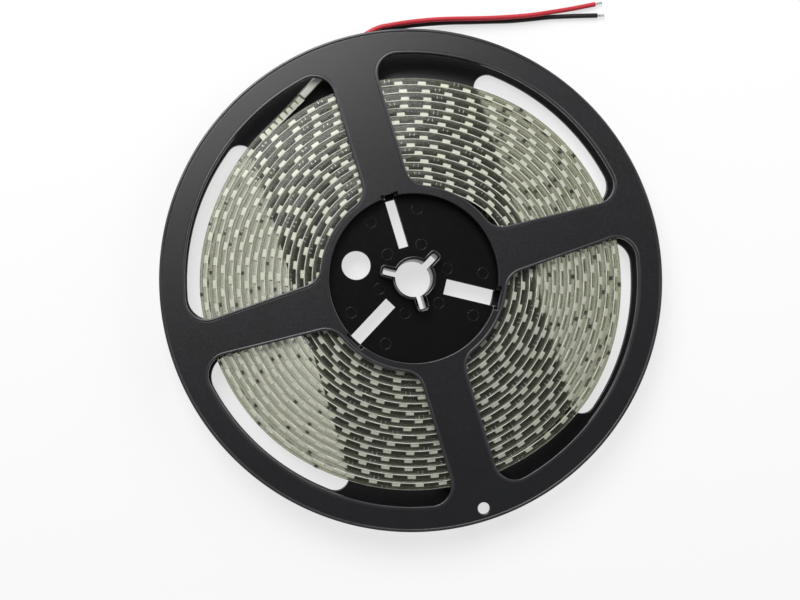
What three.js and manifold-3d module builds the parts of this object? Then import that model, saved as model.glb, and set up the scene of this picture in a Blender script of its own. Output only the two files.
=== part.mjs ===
// Reel of LED strip light: two moulded flanges on a slotted hub, the coated strip wound between
// them with its free tail, and the red and black supply leads soldered to the tail's end.
// Millimetres. The reel lies on its rear flange: z = 0 is that flange's outer face, +Z is the
// reel's axis, and the front flange's spokes lie along X and Y.

import * as THREE from 'three';
import { mergeVertices } from 'three/addons/utils/BufferGeometryUtils.js';
import Module from 'manifold-3d';

const wasm = await Module();
wasm.setup();

// Flanges
const FLANGE_RADIUS = 89;
const FLANGE_THICKNESS = 1.4;
const FLANGE_EDGE_CHAMFER = 0.3;
const FLANGE_SPACING = 10;
const HUB_OPENING_RADIUS = 30;
const RAISED_LIP = 0.25;
const RIM_BEAD_WIDTH = 1.1;
const FLANGE_SIDES = 96;

// Front flange: four windows between four spokes, a rim outside them and a ring round the hub
const FRONT_RIM_WIDTH = 8.8;
const HUB_RING_WIDTH = 3.2;
const FRONT_WINDOW_CORNER = 7.2;
const WINDOW_LIP_WIDTH = 1;
const Y_SPOKE_HALF_WIDTH = 8.3;
const X_SPOKE_HALF_WIDTH_INNER = 8.6;
const X_SPOKE_HALF_WIDTH_OUTER = 6.2;
const TIE_HOLE_RADIUS = 2.1;
const TIE_HOLE_FROM_EDGE = 4.4;
const TIE_HOLE_ANGLE = 270;
const TIE_HOLE_SIDES = 16;
const TIE_NOTCH_RADIUS = 3.2;
const WINDOW_CORNER_STEPS = 6;
const WINDOW_RIM_STEPS = 16;
const WINDOW_HUB_CORNER_STEPS = 5;
const WINDOW_HUB_STEPS = 6;

// Rear flange: a D-shaped window each side of a solid band, split by a spoke on X
const REAR_RIM_WIDTH = 7.8;
const REAR_BAND_HALF_WIDTH = 42.1;
const REAR_SPOKE_HALF_WIDTH = 7;
const REAR_WINDOW_CORNER = 5;
const REAR_WINDOW_RIM_CORNER = 8;
const REAR_CORNER_STEPS = 5;
const REAR_RIM_STEPS = 10;

// Hub: a wall that the strip winds on, a web at mid-depth and a keyed tube for the spindle
const HUB_WALL = 3;
const WEB_FRONT_DEPTH = 5.75;
const WEB_THICKNESS = 1.7;
const BORE_RADIUS = 6.65;
const KEY_WIDTH = 2.4;
const KEY_TIP_RADIUS = 11.3;
const KEY_ANGLES = [30, 150, 270];
const BORE_TUBE_WALL = 1.1;
const BORE_MOUTH_CHAMFER = 0.6;
const BORE_ARC_STEPS = 8;
const WEB_HOLE_RADIUS = 5.15;
const WEB_HOLE_FROM_AXIS = 21;
const WEB_HOLE_ANGLE = 150;
const WEB_HOLE_SIDES = 32;
const TAPE_SLOT_START_RADIUS = 11.8;
const TAPE_SLOTS = [
  { angle: 90, width: 3.4 },
  { angle: 210, width: 4.5 },
  { angle: 330, width: 5.6 },
];
const SLOT_NOTCH_DEPTH = 1.2;
const SLOT_NOTCH_MARGIN = 1.4;

// Strip: a flexible board with its LEDs under a clear coat, wound clockwise from the hub outward
const STRIP_WIDTH = 8;
const STRIP_THICKNESS = 2.4;
const TURN_GAP = 0.4;
const STRIP_TURNS = 14.71;
const FIRST_STEP_SHARE = 0.12;
const LAST_STEP_SHARE = 0.2;
const CLEARANCE = 0.3;
const STRIP_STEP = 8;
const TAIL_ANGLE = 121;
const TAIL_LENGTH = 21;
const TAIL_LEAN = 15;
const TAIL_LEAN_AT_COIL = 4;
const LEAN_START_TURN = 24;
const TAIL_STEPS = 4;
const SLEEVE_LENGTH = 11;

// Where the last turn is slack and stands off the one below, in degrees before the tail
const SLACK_BULGES = [
  { middle: 44, reach: 25, height: 0.6 },
  { middle: 89, reach: 30, height: 0.45 },
  { middle: 191, reach: 38, height: 1 },
  { middle: 277, reach: 30, height: 0.5 },
];

// Leads: two insulated stranded wires with stripped and tinned ends
const WIRE_DIAMETER = 1.7;
const WIRE_SIDES = 8;
const WIRE_STEP = 4;
const TIP_DIAMETER = 1;
const TIP_LENGTH = 2.4;
const RED_ROUTE = [
  [-9.6, 80.1, 7.4], [-4.9, 82.9, 7.2], [0.5, 85.8, 6.9], [6.3, 88.6, 6.5], [10.8, 90.3, 6.2],
  [15, 91, 5.9], [18.4, 90.8, 5.7], [21.8, 90.6, 5.3], [25.1, 90.3, 4.9], [28.5, 89.9, 4.5],
  [35.1, 88.9, 3.9], [41.7, 87.5, 3.4], [48.2, 85.9, 3.05], [55.4, 84.1, 2.95], [62.7, 82.5, 2.9],
  [70.1, 81.1, 2.85], [77.7, 80.2, 2.55], [85.5, 79.6, 1.6], [90.6, 79.3, 1.1], [95.3, 79, 0.95],
];
const BLACK_ROUTE = [
  [-10, 80.8, 4.3], [-5.3, 83.5, 4.4], [0.3, 86.1, 4.4], [6.1, 88.4, 4.3], [10.7, 89.8, 4.2],
  [14.9, 90.5, 4], [18.3, 90.2, 3.7], [21.7, 90, 3.3], [25.1, 89.6, 2.9], [28.4, 89.2, 2.5],
  [35.1, 88.1, 1.9], [41.7, 86.8, 1.4], [48.2, 85.2, 1.1], [55.5, 83.4, 0.98], [62.7, 81.6, 0.95],
  [70.1, 80.2, 0.95], [77.6, 78.9, 0.95], [84.9, 77.2, 0.95], [89.7, 76, 0.95], [94.8, 74.7, 0.95],
];

const FRONT_INNER_Z = FLANGE_THICKNESS + FLANGE_SPACING;
const FRONT_FACE_Z = FRONT_INNER_Z + FLANGE_THICKNESS;
const FRONT_WINDOW_OUTER_RADIUS = FLANGE_RADIUS - FRONT_RIM_WIDTH;
const FRONT_WINDOW_INNER_RADIUS = HUB_OPENING_RADIUS + HUB_RING_WIDTH;
const REAR_WINDOW_OUTER_RADIUS = FLANGE_RADIUS - REAR_RIM_WIDTH;
const HUB_RADIUS = HUB_OPENING_RADIUS + HUB_WALL;
const STRIP_PITCH = STRIP_THICKNESS + TURN_GAP;
const STRIP_MIDDLE_Z = FLANGE_THICKNESS + CLEARANCE + STRIP_WIDTH / 2;
const STRIP_START_RADIUS = HUB_RADIUS + CLEARANCE + STRIP_THICKNESS / 2;

// How far a cutting solid runs on past what it cuts
const THROUGH = 2;

const material = (color, roughness, metalness = 0) =>
  new THREE.MeshStandardMaterial({ color, roughness, metalness });
const FLANGE_PLASTIC = material(0x35353a, 0.55);
const HUB_PLASTIC = material(0x141416, 0.3);
const STRIP_COAT = material(0xc9cab4, 0.4);
const SLEEVE_COAT = material(0xb4b6a8, 0.45);
const RED_INSULATION = material(0xc0303c, 0.45);
const BLACK_INSULATION = material(0x1e1c1e, 0.45);
const TINNED_COPPER = material(0xc8c8c6, 0.3, 1);

const radians = THREE.MathUtils.degToRad;

function polar(radius, degrees) {
  return new THREE.Vector2(radius * Math.cos(radians(degrees)), radius * Math.sin(radians(degrees)));
}

// Closed meshes to solids and back
function toSolid(geometry) {
  const bare = geometry.index ? geometry.clone() : geometry;
  bare.deleteAttribute('normal');
  bare.deleteAttribute('uv');
  const merged = mergeVertices(bare, 1e-4);
  const vertProperties = Float32Array.from(merged.attributes.position.array);
  const triVerts = Uint32Array.from(merged.index.array);
  return new wasm.Manifold(new wasm.Mesh({ numProp: 3, vertProperties, triVerts }));
}

function toGeometry(solid) {
  const mesh = solid.getMesh();
  const geometry = new THREE.BufferGeometry();
  geometry.setAttribute('position', new THREE.BufferAttribute(mesh.vertProperties, 3));
  geometry.setIndex(new THREE.BufferAttribute(mesh.triVerts, 1));
  geometry.computeVertexNormals();
  return geometry;
}

function named(name, geometry, look) {
  const mesh = new THREE.Mesh(geometry, look);
  mesh.name = name;
  return mesh;
}

// An outline extruded from one height to another, with square edges
function prism(points, bottom, top) {
  const geometry = new THREE.ExtrudeGeometry(new THREE.Shape(points), {
    depth: top - bottom,
    bevelEnabled: false,
  });
  geometry.translate(0, 0, bottom);
  return toSolid(geometry);
}

// A round bar standing on Z at a place in the plane
function bar(radius, centre, bottom, top, sides) {
  const geometry = new THREE.CylinderGeometry(radius, radius, top - bottom, sides);
  geometry.rotateX(Math.PI / 2);
  geometry.translate(centre.x, centre.y, (top + bottom) / 2);
  return toSolid(geometry);
}

// A closed profile of [radius, z] turned about Z
function turned(profile, sides) {
  const points = profile.map(([radius, z]) => new THREE.Vector2(radius, z));
  points.push(points[0].clone());
  const geometry = new THREE.LatheGeometry(points, sides);
  geometry.rotateX(Math.PI / 2);
  return toSolid(geometry);
}

// Points of an arc about a centre, both ends included
function arc(centre, radius, from, to, steps) {
  const points = [];
  for (let i = 0; i <= steps; i += 1) {
    const angle = from + ((to - from) * i) / steps;
    points.push(polar(radius, angle).add(centre));
  }
  return points;
}

// The circle that rounds the corner between a circle about the axis and a straight spoke edge.
// The edge is the line through foot along the unit vector along, and open is the unit normal
// that points into the window. The fillet lies inside the outer arc or outside the inner arc.
function filletCentre(foot, along, open, arcRadius, corner, outside) {
  const reach = outside ? arcRadius + corner : arcRadius - corner;
  const base = foot.clone().addScaledVector(open, corner);
  const b = base.dot(along);
  const c = base.lengthSq() - reach * reach;
  return base.addScaledVector(along, -b + Math.sqrt(b * b - c));
}

const angleOf = (vector) => THREE.MathUtils.radToDeg(Math.atan2(vector.y, vector.x));

// The arc from one point to another about a centre, anticlockwise unless clockwise is true
function arcBetween(centre, radius, start, end, steps, clockwise = false) {
  const from = angleOf(start.clone().sub(centre));
  let to = angleOf(end.clone().sub(centre));
  while (clockwise && to > from) to -= 360;
  while (!clockwise && to < from) to += 360;
  return arc(centre, radius, from, to, steps);
}

// Outline of a front window in the first quadrant, grown outward by grow
function frontWindow(grow) {
  const outer = FRONT_WINDOW_OUTER_RADIUS + grow;
  const inner = FRONT_WINDOW_INNER_RADIUS - grow;
  const corner = FRONT_WINDOW_CORNER + grow;
  const innerCorner = FRONT_WINDOW_CORNER - grow;
  const start = new THREE.Vector2(FRONT_WINDOW_INNER_RADIUS, X_SPOKE_HALF_WIDTH_INNER);
  const end = new THREE.Vector2(FRONT_WINDOW_OUTER_RADIUS, X_SPOKE_HALF_WIDTH_OUTER);
  const xAlong = end.clone().sub(start).normalize();
  const xOpen = new THREE.Vector2(-xAlong.y, xAlong.x);
  const xFoot = start.clone().addScaledVector(xOpen, -grow);
  const yAlong = new THREE.Vector2(0, 1);
  const yOpen = new THREE.Vector2(1, 0);
  const yFoot = new THREE.Vector2(Y_SPOKE_HALF_WIDTH - grow, 0);
  const axis = new THREE.Vector2(0, 0);
  const corners = [
    { centre: filletCentre(xFoot, xAlong, xOpen, outer, corner, false), open: xOpen, arcRadius: outer },
    { centre: filletCentre(yFoot, yAlong, yOpen, outer, corner, false), open: yOpen, arcRadius: outer },
    { centre: filletCentre(yFoot, yAlong, yOpen, inner, innerCorner, true), open: yOpen, arcRadius: inner },
    { centre: filletCentre(xFoot, xAlong, xOpen, inner, innerCorner, true), open: xOpen, arcRadius: inner },
  ];
  const onSpoke = ({ centre, open }) => centre.clone().addScaledVector(open, -corner);
  const onArc = ({ centre, arcRadius }) => centre.clone().setLength(arcRadius);
  const [xOuter, yOuter, yInner, xInner] = corners;
  return [
    ...arcBetween(xOuter.centre, corner, onSpoke(xOuter), onArc(xOuter), WINDOW_CORNER_STEPS),
    ...arcBetween(axis, outer, onArc(xOuter), onArc(yOuter), WINDOW_RIM_STEPS).slice(1, -1),
    ...arcBetween(yOuter.centre, corner, onArc(yOuter), onSpoke(yOuter), WINDOW_CORNER_STEPS),
    ...arcBetween(yInner.centre, innerCorner, onSpoke(yInner), onArc(yInner), WINDOW_HUB_CORNER_STEPS),
    ...arcBetween(axis, inner, onArc(yInner), onArc(xInner), WINDOW_HUB_STEPS, true).slice(1, -1),
    ...arcBetween(xInner.centre, innerCorner, onArc(xInner), onSpoke(xInner), WINDOW_HUB_CORNER_STEPS),
  ];
}

// Outline of a rear window in the first quadrant
function rearWindow() {
  const radius = REAR_WINDOW_OUTER_RADIUS;
  const corner = REAR_WINDOW_CORNER;
  const rimCorner = REAR_WINDOW_RIM_CORNER;
  const low = new THREE.Vector2(REAR_BAND_HALF_WIDTH + corner, REAR_SPOKE_HALF_WIDTH + corner);
  const right = new THREE.Vector2(0, REAR_SPOKE_HALF_WIDTH + rimCorner);
  right.x = Math.sqrt((radius - rimCorner) ** 2 - right.y ** 2);
  const top = new THREE.Vector2(REAR_BAND_HALF_WIDTH + corner, 0);
  top.y = Math.sqrt((radius - corner) ** 2 - top.x ** 2);
  const axis = new THREE.Vector2(0, 0);
  const from = right.clone().setLength(radius);
  const to = top.clone().setLength(radius);
  return [
    ...arc(low, corner, 180, 270, REAR_CORNER_STEPS),
    ...arc(right, rimCorner, 270, 360 + angleOf(right), REAR_CORNER_STEPS),
    ...arcBetween(axis, radius, from, to, REAR_RIM_STEPS).slice(1, -1),
    ...arc(top, corner, angleOf(top), 180, REAR_CORNER_STEPS),
  ];
}

// The four copies of a first-quadrant outline, mirrored about X and Y
function fourQuadrants(points) {
  const copies = [];
  for (const sx of [1, -1]) {
    for (const sy of [1, -1]) {
      const copy = points.map((p) => new THREE.Vector2(p.x * sx, p.y * sy));
      copies.push(sx * sy < 0 ? copy.reverse() : copy);
    }
  }
  return copies;
}

function slotNotch({ angle, width }) {
  const half = width / 2 + SLOT_NOTCH_MARGIN;
  const tip = HUB_OPENING_RADIUS + SLOT_NOTCH_DEPTH;
  const points = [[0, -half], [tip, -half], [tip, half], [0, half]];
  const centre = new THREE.Vector2(0, 0);
  return points.map(([x, y]) => new THREE.Vector2(x, y).rotateAround(centre, radians(angle)));
}

function frontFlange() {
  const top = FRONT_FACE_Z + RAISED_LIP;
  const bead = FLANGE_RADIUS - RIM_BEAD_WIDTH;
  let solid = turned([
    [HUB_OPENING_RADIUS, FRONT_INNER_Z],
    [FLANGE_RADIUS - FLANGE_EDGE_CHAMFER, FRONT_INNER_Z],
    [FLANGE_RADIUS, FRONT_INNER_Z + FLANGE_EDGE_CHAMFER],
    [FLANGE_RADIUS, top - FLANGE_EDGE_CHAMFER],
    [FLANGE_RADIUS - FLANGE_EDGE_CHAMFER, top],
    [bead, top],
    [bead - RAISED_LIP, FRONT_FACE_Z],
    [HUB_OPENING_RADIUS, FRONT_FACE_Z],
  ], FLANGE_SIDES);
  for (const outline of fourQuadrants(frontWindow(WINDOW_LIP_WIDTH))) {
    solid = solid.add(prism(outline, FRONT_FACE_Z - FLANGE_THICKNESS / 2, top));
  }
  for (const outline of fourQuadrants(frontWindow(0))) {
    solid = solid.subtract(prism(outline, FRONT_INNER_Z - THROUGH, top + THROUGH));
  }
  for (const slot of TAPE_SLOTS) {
    solid = solid.subtract(prism(slotNotch(slot), FRONT_INNER_Z - THROUGH, top + THROUGH));
  }
  return solid.subtract(tieHole());
}

// The hole near the front rim that a tie passes through
function tieHole() {
  const centre = polar(FLANGE_RADIUS - TIE_HOLE_FROM_EDGE, TIE_HOLE_ANGLE);
  return bar(TIE_HOLE_RADIUS, centre, FRONT_INNER_Z - THROUGH, FRONT_FACE_Z + THROUGH, TIE_HOLE_SIDES);
}

// The notch in the rear rim behind the tie hole, round at its inner end and open at the edge
function tieNotch() {
  const inner = FLANGE_RADIUS - TIE_HOLE_FROM_EDGE;
  const outer = FLANGE_RADIUS + THROUGH;
  const origin = new THREE.Vector2(0, 0);
  const points = [
    new THREE.Vector2(outer, -TIE_NOTCH_RADIUS),
    new THREE.Vector2(outer, TIE_NOTCH_RADIUS),
    ...arc(new THREE.Vector2(inner, 0), TIE_NOTCH_RADIUS, 90, 270, TIE_HOLE_SIDES / 2),
  ].map((point) => point.rotateAround(origin, radians(TIE_HOLE_ANGLE)));
  return prism(points, -THROUGH, FLANGE_THICKNESS + THROUGH);
}

function rearFlange() {
  let solid = turned([
    [HUB_OPENING_RADIUS, 0],
    [FLANGE_RADIUS - FLANGE_EDGE_CHAMFER, 0],
    [FLANGE_RADIUS, FLANGE_EDGE_CHAMFER],
    [FLANGE_RADIUS, FLANGE_THICKNESS - FLANGE_EDGE_CHAMFER],
    [FLANGE_RADIUS - FLANGE_EDGE_CHAMFER, FLANGE_THICKNESS],
    [HUB_OPENING_RADIUS, FLANGE_THICKNESS],
  ], FLANGE_SIDES);
  for (const outline of fourQuadrants(rearWindow())) {
    solid = solid.subtract(prism(outline, -THROUGH, FLANGE_THICKNESS + THROUGH));
  }
  return solid.subtract(tieNotch());
}

// Outline of the bore with its three keyways, grown outward by grow
function boreOutline(grow) {
  const radius = BORE_RADIUS + grow;
  const half = KEY_WIDTH / 2 + grow;
  const tip = KEY_TIP_RADIUS + grow;
  const centre = new THREE.Vector2(0, 0);
  const mouth = THREE.MathUtils.radToDeg(Math.asin(half / radius));
  const points = [];
  KEY_ANGLES.forEach((angle, index) => {
    const next = index + 1 < KEY_ANGLES.length ? KEY_ANGLES[index + 1] : KEY_ANGLES[0] + 360;
    for (const [x, y] of [[tip, -half], [tip, half]]) {
      points.push(new THREE.Vector2(x, y).rotateAround(centre, radians(angle)));
    }
    points.push(...arc(centre, radius, angle + mouth, next - mouth, BORE_ARC_STEPS));
  });
  return points;
}

function hub() {
  const webTop = FRONT_FACE_Z - WEB_FRONT_DEPTH;
  const webBottom = webTop - WEB_THICKNESS;
  const axis = new THREE.Vector2(0, 0);
  const tube = prism(boreOutline(BORE_TUBE_WALL), 0, FRONT_FACE_Z);
  let solid = turned([
    [HUB_OPENING_RADIUS, FLANGE_THICKNESS],
    [HUB_RADIUS, FLANGE_THICKNESS],
    [HUB_RADIUS, FRONT_INNER_Z],
    [HUB_OPENING_RADIUS, FRONT_INNER_Z],
  ], FLANGE_SIDES);
  solid = solid.add(bar(HUB_OPENING_RADIUS + HUB_WALL / 2, axis, webBottom, webTop, FLANGE_SIDES));
  solid = solid.add(tube);
  solid = solid.subtract(prism(boreOutline(0), -THROUGH, FRONT_FACE_Z + THROUGH));
  solid = solid.subtract(boreMouth());
  const holeCentre = polar(WEB_HOLE_FROM_AXIS, WEB_HOLE_ANGLE);
  const hole = bar(WEB_HOLE_RADIUS, holeCentre, webBottom - THROUGH, webTop + THROUGH, WEB_HOLE_SIDES);
  solid = solid.subtract(hole);
  for (const { angle, width } of TAPE_SLOTS) {
    const length = HUB_RADIUS + THROUGH - TAPE_SLOT_START_RADIUS;
    const height = FRONT_FACE_Z + 2 * THROUGH;
    const slot = new THREE.BoxGeometry(length, width, height);
    slot.translate(TAPE_SLOT_START_RADIUS + length / 2, 0, height / 2 - THROUGH);
    slot.rotateZ(radians(angle));
    solid = solid.subtract(toSolid(slot));
  }
  return solid;
}

// The chamfer round the front mouth of the bore and its keyways
function boreMouth() {
  const geometry = new THREE.ExtrudeGeometry(new THREE.Shape(boreOutline(BORE_MOUTH_CHAMFER)), {
    depth: THROUGH,
    bevelEnabled: true,
    bevelThickness: BORE_MOUTH_CHAMFER,
    bevelSize: BORE_MOUTH_CHAMFER,
    bevelOffset: -BORE_MOUTH_CHAMFER,
    bevelSegments: 1,
  });
  geometry.translate(0, 0, FRONT_FACE_Z);
  return toSolid(geometry);
}

// One cross-section of the strip: its corners about a point, leaning out at the bottom by lean
function stripSection(point, outward, lean) {
  const across = new THREE.Vector3(outward.x * Math.cos(lean), outward.y * Math.cos(lean), Math.sin(lean));
  const up = new THREE.Vector3(-outward.x * Math.sin(lean), -outward.y * Math.sin(lean), Math.cos(lean));
  return [[-1, -1], [1, -1], [1, 1], [-1, 1]].map(([a, b]) => point.clone()
    .addScaledVector(across, (a * STRIP_THICKNESS) / 2)
    .addScaledVector(up, (b * STRIP_WIDTH) / 2));
}

// How far the leaning strip's middle moves out and up to stay clear of the turn and flange below
function leanShift(lean) {
  const halfThickness = STRIP_THICKNESS / 2;
  const halfWidth = STRIP_WIDTH / 2;
  return {
    out: halfThickness * Math.cos(lean) + halfWidth * Math.sin(lean) - halfThickness,
    up: halfWidth * Math.cos(lean) + halfThickness * Math.sin(lean) - halfWidth,
  };
}

// Radius of the strip's middle after so many turns. Each turn lies round the one below and steps
// out over it where the strip starts, in a stretch that grows from turn to turn.
function woundRadius(turns) {
  const fromStep = turns + FIRST_STEP_SHARE;
  const whole = Math.floor(fromStep);
  const share = FIRST_STEP_SHARE + ((LAST_STEP_SHARE - FIRST_STEP_SHARE) * whole) / STRIP_TURNS;
  const step = whole > 0 ? THREE.MathUtils.smoothstep((fromStep - whole) / share, 0, 1) : 1;
  return STRIP_START_RADIUS + STRIP_PITCH * (whole - 1 + step);
}

// How far the last turn stands off the one below
function slackAt(degreesBeforeTail) {
  return SLACK_BULGES.reduce((sum, { middle, reach, height }) => {
    const share = Math.min(Math.abs(degreesBeforeTail - middle) / reach, 1);
    return sum + (height * (1 + Math.cos(Math.PI * share))) / 2;
  }, 0);
}

function stripAt(degreesBeforeTail) {
  const radius = woundRadius(STRIP_TURNS - degreesBeforeTail / 360) + slackAt(degreesBeforeTail);
  const start = Math.min(degreesBeforeTail / LEAN_START_TURN, 1);
  const lean = radians(TAIL_LEAN_AT_COIL * (1 - start) ** 2);
  const shift = leanShift(lean);
  const outward = polar(1, TAIL_ANGLE + degreesBeforeTail);
  const middle = outward.clone().multiplyScalar(radius + shift.out);
  return {
    point: new THREE.Vector3(middle.x, middle.y, STRIP_MIDDLE_Z + shift.up),
    outward,
    lean,
  };
}

// The free tail runs straight on from the coil while it leans over
function tailAt(length) {
  const leaving = stripAt(0);
  const along = new THREE.Vector2(leaving.outward.y, -leaving.outward.x);
  const share = Math.min(length / TAIL_LENGTH, 1);
  const lean = radians(TAIL_LEAN_AT_COIL + (TAIL_LEAN - TAIL_LEAN_AT_COIL) * share);
  const place = new THREE.Vector2(leaving.point.x, leaving.point.y).addScaledVector(along, length);
  return {
    point: new THREE.Vector3(place.x, place.y, STRIP_MIDDLE_Z + leanShift(lean).up),
    outward: leaving.outward,
    lean,
  };
}

// Rings of four corners joined into one closed band
function band(rings) {
  const corners = rings[0].length;
  const positions = rings.flat().flatMap((corner) => [corner.x, corner.y, corner.z]);
  const index = [];
  for (let ring = 0; ring + 1 < rings.length; ring += 1) {
    for (let side = 0; side < corners; side += 1) {
      const a = ring * corners + side;
      const b = ring * corners + ((side + 1) % corners);
      index.push(a, b, a + corners, b, b + corners, a + corners);
    }
  }
  const last = (rings.length - 1) * corners;
  for (let side = 1; side + 1 < corners; side += 1) {
    index.push(0, side + 1, side);
    index.push(last, last + side, last + side + 1);
  }
  const geometry = new THREE.BufferGeometry();
  geometry.setAttribute('position', new THREE.Float32BufferAttribute(positions, 3));
  geometry.setIndex(index);
  geometry.computeVertexNormals();
  return geometry;
}

function ledStrip() {
  const rings = [];
  const wound = STRIP_TURNS * 360;
  const steps = Math.round(wound / STRIP_STEP);
  for (let i = 0; i <= steps; i += 1) {
    const { point, outward, lean } = stripAt(wound * (1 - i / steps));
    rings.push(stripSection(point, outward, lean));
  }
  for (let i = 1; i <= TAIL_STEPS; i += 1) {
    const { point, outward, lean } = tailAt((TAIL_LENGTH * i) / TAIL_STEPS);
    rings.push(stripSection(point, outward, lean));
  }
  return band(rings);
}

// The sleeve over the solder joint, in line with the tail
function endSleeve() {
  const rings = [0, SLEEVE_LENGTH].map((length) => {
    const { point, outward, lean } = tailAt(TAIL_LENGTH + CLEARANCE + length);
    return stripSection(point, outward, lean);
  });
  return band(rings);
}

function wireCurve(route) {
  return new THREE.CatmullRomCurve3(route.map(([x, y, z]) => new THREE.Vector3(x, y, z)));
}

// A wire along its route, as a tube with flat ends
function wire(route) {
  const curve = wireCurve(route);
  const section = new THREE.Shape(arc(new THREE.Vector2(0, 0), WIRE_DIAMETER / 2, 0, 360, WIRE_SIDES)
    .slice(0, -1));
  return new THREE.ExtrudeGeometry(section, {
    steps: Math.round(curve.getLength() / WIRE_STEP),
    bevelEnabled: false,
    extrudePath: curve,
  });
}

// The stripped conductor past the end of a wire, as a mesh turned to the wire's end
function wireTip(name, route) {
  const curve = wireCurve(route);
  const end = curve.getPointAt(1);
  const along = curve.getTangentAt(1);
  const middle = end.clone().addScaledVector(along, CLEARANCE + TIP_LENGTH / 2);
  const geometry = new THREE.CylinderGeometry(TIP_DIAMETER / 2, TIP_DIAMETER / 2, TIP_LENGTH, WIRE_SIDES);
  const mesh = named(name, geometry, TINNED_COPPER);
  mesh.quaternion.setFromUnitVectors(new THREE.Vector3(0, 1, 0), along);
  mesh.position.copy(middle);
  return mesh;
}

const reel = new THREE.Group();
reel.add(named('rear_flange', toGeometry(rearFlange()), FLANGE_PLASTIC));
reel.add(named('front_flange', toGeometry(frontFlange()), FLANGE_PLASTIC));
reel.add(named('hub', toGeometry(hub()), HUB_PLASTIC));
reel.add(named('led_strip', ledStrip(), STRIP_COAT));
reel.add(named('strip_end_sleeve', endSleeve(), SLEEVE_COAT));
for (const [name, route, look] of [
  ['red_wire', RED_ROUTE, RED_INSULATION],
  ['black_wire', BLACK_ROUTE, BLACK_INSULATION],
]) {
  reel.add(named(name, wire(route), look));
  reel.add(wireTip(`${name}_tip`, route));
}

export default reel;
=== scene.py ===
"""The look of the LED strip reel: moulded flanges and hub, the coated strip with its LEDs, and the leads.

Sizes are in millimetres, scaled to Blender's metres as they are used. The reel's axis is Z, its rear
flange lies on z = 0 and the front flange's spokes lie along X and Y.
"""
import math
import random

import bmesh
import bpy
from mathutils import Matrix, Vector
from mathutils.geometry import tessellate_polygon


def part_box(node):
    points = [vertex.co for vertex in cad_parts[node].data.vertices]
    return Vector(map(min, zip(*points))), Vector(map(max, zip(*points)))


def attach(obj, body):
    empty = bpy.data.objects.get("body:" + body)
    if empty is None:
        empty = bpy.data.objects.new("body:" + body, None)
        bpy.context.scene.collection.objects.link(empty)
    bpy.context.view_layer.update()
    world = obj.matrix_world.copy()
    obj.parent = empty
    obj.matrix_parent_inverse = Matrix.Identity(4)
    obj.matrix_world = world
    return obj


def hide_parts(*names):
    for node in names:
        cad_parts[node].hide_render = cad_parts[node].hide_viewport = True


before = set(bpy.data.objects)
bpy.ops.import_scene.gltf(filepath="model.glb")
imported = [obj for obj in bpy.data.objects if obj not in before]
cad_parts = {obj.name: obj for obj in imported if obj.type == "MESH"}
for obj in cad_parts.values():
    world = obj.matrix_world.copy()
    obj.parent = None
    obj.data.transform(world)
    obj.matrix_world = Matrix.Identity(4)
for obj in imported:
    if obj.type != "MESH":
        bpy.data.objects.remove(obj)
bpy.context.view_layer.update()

MM = 0.001
BODY = "root"
IMAGE_WIDTH = 800
SENSOR_WIDTH = 36
random.seed(7)

# Flanges and hub, from the model's own boxes where they give the size
FLANGE_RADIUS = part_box("rear_flange")[1][0] / MM
FLANGE_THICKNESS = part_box("rear_flange")[1][2] / MM
FRONT_INNER_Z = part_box("front_flange")[0][2] / MM
FRONT_FACE_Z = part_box("hub")[1][2] / MM
LIP_TOP_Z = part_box("front_flange")[1][2] / MM
HUB_OPENING_RADIUS = 30
HUB_RADIUS = 33
EDGE_ROUND = 0.3
EDGE_STEPS = 4
SHARP_ANGLE = 35
# How far below the top the lighter colour of painted highlight reaches on upper edges and lips
HIGHLIGHT_EDGE_HEIGHT = 0.31
RIM_BEAD_WIDTH = 1.1
WINDOW_LIP_WIDTH = 1
FRONT_WINDOW_OUTER_RADIUS = 80.2
FRONT_WINDOW_INNER_RADIUS = 33.2
FRONT_WINDOW_CORNER = 7.2
Y_SPOKE_HALF_WIDTH = 8.3
X_SPOKE_HALF_WIDTH_INNER = 8.6
X_SPOKE_HALF_WIDTH_OUTER = 6.2
REAR_WINDOW_OUTER_RADIUS = 81.2
REAR_BAND_HALF_WIDTH = 42.1
REAR_SPOKE_HALF_WIDTH = 7
REAR_WINDOW_CORNER = 5
REAR_WINDOW_RIM_CORNER = 8
TIE_HOLE_RADIUS = 2.1
TIE_HOLE_FROM_AXIS = 84.6
TIE_HOLE_ANGLE = 270
TIE_NOTCH_RADIUS = 3.2
WEB_TOP_Z = FRONT_FACE_Z - 5.75
WEB_BOTTOM_Z = WEB_TOP_Z - 1.7
WEB_ROUND = 0.15
WEB_REACH_INTO_WALL = 0.4
WALL_ROUND = 0.2
WEB_HOLE_RADIUS = 5.15
WEB_HOLE_FROM_AXIS = 21
WEB_HOLE_ANGLE = 150
BORE_RADIUS = 6.65
BORE_TUBE_WALL = 1.1
BORE_MOUTH = ((0, 1.1), (0.12, 0.6), (0.35, 0.22), (0.62, 0.04), (0.74, 0))
KEY_WIDTH = 2.4
KEY_TIP_RADIUS = 11.3
KEY_CORNER = 0.5
KEY_ANGLES = (30, 150, 270)
TAPE_SLOT_START_RADIUS = 11.8
TAPE_SLOTS = ((90, 3.4), (210, 4.5), (330, 5.6))
SLOT_NOTCH_DEPTH = 1.2
SLOT_NOTCH_MARGIN = 1.4
PIN_MARK_RADIUS = 2.1
PIN_MARK_WIDTH = 0.28
PIN_MARK_DEPTH = 0.1
PIN_MARK_RISE = 0.11
PIN_MARK_ROUND = 0.06
PIN_MARKS = ((12.7, 0), (12.7, 60), (12.7, 120), (12.7, 180), (12.7, 240), (12.7, 300),
             (25.3, 70), (25.3, 110), (25.3, 192), (25.3, 230), (25.3, 312), (25.3, 348))

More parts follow.
